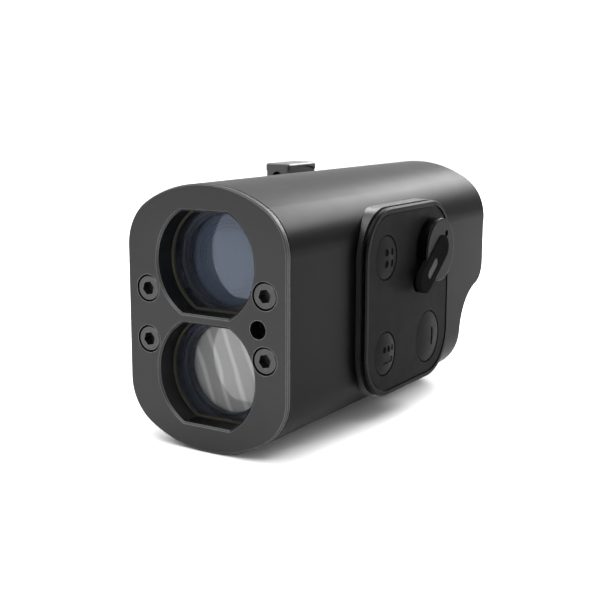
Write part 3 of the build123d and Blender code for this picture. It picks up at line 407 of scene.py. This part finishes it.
def lens(node, slot, rim, front_bulge, back_bulge, body):
    """A finely divided lens in place of a CAD one, with its front edge a rim's depth behind."""
    low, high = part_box(node)
    radius = (high[0] - low[0]) / 2
    centre = ((low[0] + high[0]) / 2, 0, (low[2] + high[2]) / 2)
    front = low[1] + rim
    back = high[1] - back_bulge

    def rise(share, bulge):
        curve = (radius**2 + bulge**2) / (2 * bulge)
        return sqrt(curve**2 - (share * radius) ** 2) - (curve - bulge)

    shares = [i / LENS_STEPS for i in range(LENS_STEPS + 1)]
    profile = [(radius * share, front - rise(share, front_bulge)) for share in shares]
    profile += [(radius * share, back + rise(share, back_bulge)) for share in reversed(shares)]
    made = turned(node + "_fine", profile, centre)
    made.data.materials.append(FINISHES[slot])
    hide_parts(node)
    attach(made, body)


lens("objective_lens", "coated_lens", 1.2 * MM, 0.25 * MM, 0.8 * MM, "body")
lens("receiver_lens", "clear_lens", 1.2 * MM, 0.25 * MM, 1.6 * MM, "body")
lens("field_lens", "clear_lens", 0.6 * MM, 0.6 * MM, 1.5 * MM, "body")
lens("eye_lens", "coated_lens", 1.2 * MM, 1.2 * MM, 1.0 * MM, "eye_carrier")


# ---- Floor, backdrop and light -------------------------------------------------------------------
FLOOR_GAP = 0.1 * MM
FLOOR_FRONT = -1.6
FLOOR_BACK = 1.4
FLOOR_HALF_WIDTH = 2.4
CURVE_R = 0.5
WALL_TOP = 2.6


def add_floor():
    """A pale floor that curves up far behind the object."""
    depth = frame_low[2] - FLOOR_GAP
    mesh = bmesh.new()
    profile = [(FLOOR_FRONT, 0.0), (FLOOR_BACK, 0.0)]
    for angle in [radians(10 * i) for i in range(1, 10)]:
        profile.append((FLOOR_BACK + CURVE_R * sin(angle), CURVE_R - CURVE_R * cos(angle)))
    profile.append((FLOOR_BACK + CURVE_R, WALL_TOP))
    middle = (frame_low[1] + frame_high[1]) / 2
    turn = Matrix.Rotation(AZIMUTH, 3, "Z")
    rows = [[mesh.verts.new(turn @ Vector((x, y, 0)) + Vector((0, middle, depth + z)))
             for x in (-FLOOR_HALF_WIDTH, FLOOR_HALF_WIDTH)] for y, z in profile]
    for first, second in zip(rows, rows[1:]):
        mesh.faces.new((first[0], first[1], second[1], second[0]))
    data = bpy.data.meshes.new("floor")
    mesh.to_mesh(data)
    mesh.free()
    data.shade_smooth()
    floor = bpy.data.objects.new("floor", data)
    scene.collection.objects.link(floor)
    paper = Shader("floor_paper", Specular_IOR_Level=0.1)
    cloud = paper.span(paper.noise(4.0), 0, 1)
    paper.set(Base_Color=paper.mix(cloud, (0.93, 0.93, 0.93), (0.95, 0.95, 0.95)))
    paper.set(Roughness=paper.span(paper.noise(30.0), 0.85, 0.95))
    data.materials.append(paper.material)


def softbox(name, azimuth, elevation, distance, size, power):
    """An area light that faces the object's middle. Degrees, metres and watts, with azimuth 0 in front."""
    middle = (Vector(frame_low) + Vector(frame_high)) / 2
    a, e = radians(azimuth), radians(elevation)
    outward = Vector((sin(a) * cos(e), -cos(a) * cos(e), sin(e)))
    light = bpy.data.lights.new(name, "AREA")
    light.shape = "RECTANGLE"
    light.size, light.size_y = size
    light.energy = power
    made = bpy.data.objects.new(name, light)
    turn = outward.to_track_quat("Z", "Y").to_matrix().to_4x4()
    made.matrix_world = Matrix.Translation(middle + distance * outward) @ turn
    scene.collection.objects.link(made)


def add_world(strength):
    """Even white light from all round."""
    world = bpy.data.worlds.new("studio")
    world.use_nodes = True
    background = world.node_tree.nodes["Background"]
    background.inputs["Color"].default_value = (1, 1, 1, 1)
    background.inputs["Strength"].default_value = strength
    scene.world = world


add_floor()
add_world(1.0)
softbox("rim_light", 167, 33, 0.9, (0.7, 0.28), 10.5)
softbox("left_rim_light", 208, 40, 0.9, (0.4, 0.3), 1.8)
softbox("overhead_light", -70, 68, 1.0, (0.7, 1.4), 8.0)
softbox("front_top_light", 30, 50, 1.0, (0.7, 0.3), 3.2)
scene.view_settings.view_transform = "Standard"

bpy.context.view_layer.update()
